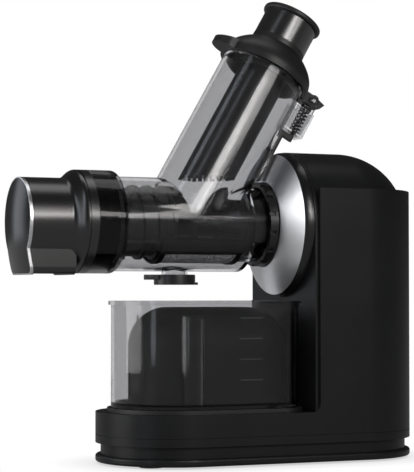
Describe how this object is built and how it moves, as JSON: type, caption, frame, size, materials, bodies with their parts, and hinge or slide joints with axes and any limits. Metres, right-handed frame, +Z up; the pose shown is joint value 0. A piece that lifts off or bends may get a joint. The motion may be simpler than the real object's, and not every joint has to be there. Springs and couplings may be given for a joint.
{
  "type": "masticating juicer",
  "caption": "Horizontal masticating juicer with a tilted feed chute, hinged lid and pusher, a slow auger in a clear drum, a geared motor housing and a juice jug on its base.",
  "frame": {"origin": "on the table, under the middle of the overall box", "axes": "+Z up, drum along X with its pulp end towards -X, chute leaning towards +X, switch on the +Y side"},
  "size_m": [0.329, 0.12, 0.3617],
  "materials": {
    "shell_black": "satin moulded",
    "cap_black": "polished moulded",
    "lid_black": "satin moulded",
    "auger_black": "satin moulded",
    "smoke_clear": "clear smoked",
    "jug_clear": "clear smoked",
    "pulp_black": "satin moulded",
    "ring_aluminium": "satin",
    "trim_chrome": "polished",
    "steel": "brushed",
    "lamination": "stacked sheet",
    "seal_rubber": "matte",
    "winding_copper": "enamelled wire",
    "gear_nylon": "moulded",
    "pinion_steel": "cut",
    "gearbox_grey": "moulded",
    "bracket_alloy": "die cast",
    "board_green": "solder mask",
    "capacitor_grey": "moulded"
  },
  "bodies": {
    "stand": {"foot_plate": "shell_black", "rubber_feet": "seal_rubber", "base_screws": "steel", "outer_shell": "shell_black", "jug_tray": "shell_black", "motor_housing": "shell_black", "housing_screws": "steel", "front_panel": "shell_black", "front_bezel": "shell_black", "trim_ring": "ring_aluminium", "drum_socket": "lid_black", "switch_bezel": "cap_black", "cord_gland": "lid_black", "shaft_seal": "seal_rubber", "interlock_switch": "gearbox_grey", "gearbox_case": "gearbox_grey", "gearbox_cover": "gearbox_grey", "gearbox_screws": "steel", "drive_bearings": "steel", "counter_bushes": "gear_nylon", "stator": "lamination", "stator_windings": "winding_copper", "motor_front_bracket": "bracket_alloy", "motor_rear_bracket": "bracket_alloy", "motor_bearings": "steel", "motor_bolts": "steel", "control_board": "board_green", "run_capacitor": "capacitor_grey"},
    "rotor": {"motor_shaft": "steel", "rotor_core": "lamination", "motor_pinion": "pinion_steel", "cooling_fan": "gear_nylon"},
    "counter": {"counter_gear": "gear_nylon", "counter_pinion": "pinion_steel", "counter_shaft": "steel"},
    "drive": {"drive_gear": "gear_nylon", "drive_shaft": "steel"},
    "rocker": {"rocker": "cap_black"},
    "juicing_unit": {"juicing_drum": "smoke_clear", "lock_ring": "lid_black", "auger_seal": "seal_rubber", "collar_seal": "seal_rubber", "filter_frame": "gearbox_grey", "filter_mesh": "steel", "lid_hinge_pin": "steel", "lid_spring": "steel"},
    "auger": {"auger": "auger_black"},
    "front_cap": {"front_cap": "cap_black", "cap_trim": "trim_chrome", "cap_face": "cap_black", "auger_bush": "gear_nylon"},
    "drip_stop": {"drip_stop": "cap_black", "drip_seal": "seal_rubber"},
    "feed_lid": {"feed_lid": "lid_black"},
    "safety_rod": {"safety_rod": "lid_black"},
    "pusher": {"pusher_body": "cap_black", "pusher_cap": "lid_black"},
    "jug": {"jug": "jug_clear", "pulp_container": "pulp_black"}
  },
  "joints": [
    {"name": "rotor_spin", "type": "hinge", "parent": "stand", "child": "rotor", "pos_m": [0, 0, 0.087], "axis": [1, 0, 0], "continuous": true},
    {"name": "counter_spin", "type": "hinge", "parent": "stand", "child": "counter", "pos_m": [0, 0, 0.132], "axis": [1, 0, 0], "continuous": true},
    {"name": "drive_spin", "type": "hinge", "parent": "stand", "child": "drive", "pos_m": [0, 0, 0.1845], "axis": [1, 0, 0], "continuous": true},
    {"name": "auger_spin", "type": "hinge", "parent": "juicing_unit", "child": "auger", "pos_m": [0, 0, 0.1845], "axis": [1, 0, 0], "continuous": true},
    {"name": "drum_slide", "type": "slide", "parent": "stand", "child": "juicing_unit", "axis": [-1, 0, 0], "range_m": [0, 0.07]},
    {"name": "cap_twist", "type": "hinge", "parent": "juicing_unit", "child": "front_cap", "pos_m": [-0.13, 0, 0.1845], "axis": [1, 0, 0], "range_deg": [0, 30]},
    {"name": "drip_stop_turn", "type": "hinge", "parent": "juicing_unit", "child": "drip_stop", "pos_m": [-0.0345, 0, 0.14], "axis": [0, 0, 1], "range_deg": [0, 90]},
    {"name": "lid_hinge", "type": "hinge", "parent": "juicing_unit", "child": "feed_lid", "pos_m": [0.08249, 0, 0.28398], "axis": [0, 1, 0], "range_deg": [0, 5]},
    {"name": "rod_slide", "type": "slide", "parent": "juicing_unit", "child": "safety_rod", "axis": [0.5, 0, 0.866], "range_m": [0, 0.0005]},
    {"name": "pusher_slide", "type": "slide", "parent": "feed_lid", "child": "pusher", "axis": [0.5, 0, 0.866], "range_m": [0, 0.13]},
    {"name": "jug_slide", "type": "slide", "parent": "stand", "child": "jug", "axis": [0, -1, 0], "range_m": [0, 0.14]},
    {"name": "rocker_tilt", "type": "hinge", "parent": "stand", "child": "rocker", "pos_m": [0.0865, 0.0554, 0.03], "axis": [0, 0, 1], "range_deg": [-10, 10]}
  ],
  "couplings": [
    {"joint": "counter_spin", "follows": "rotor_spin", "ratio": -0.2},
    {"joint": "drive_spin", "follows": "rotor_spin", "ratio": 0.033333},
    {"joint": "auger_spin", "follows": "rotor_spin", "ratio": 0.033333},
    {"joint": "rod_slide", "follows": "lid_hinge", "m_per_rad": 0.0057}
  ]
}
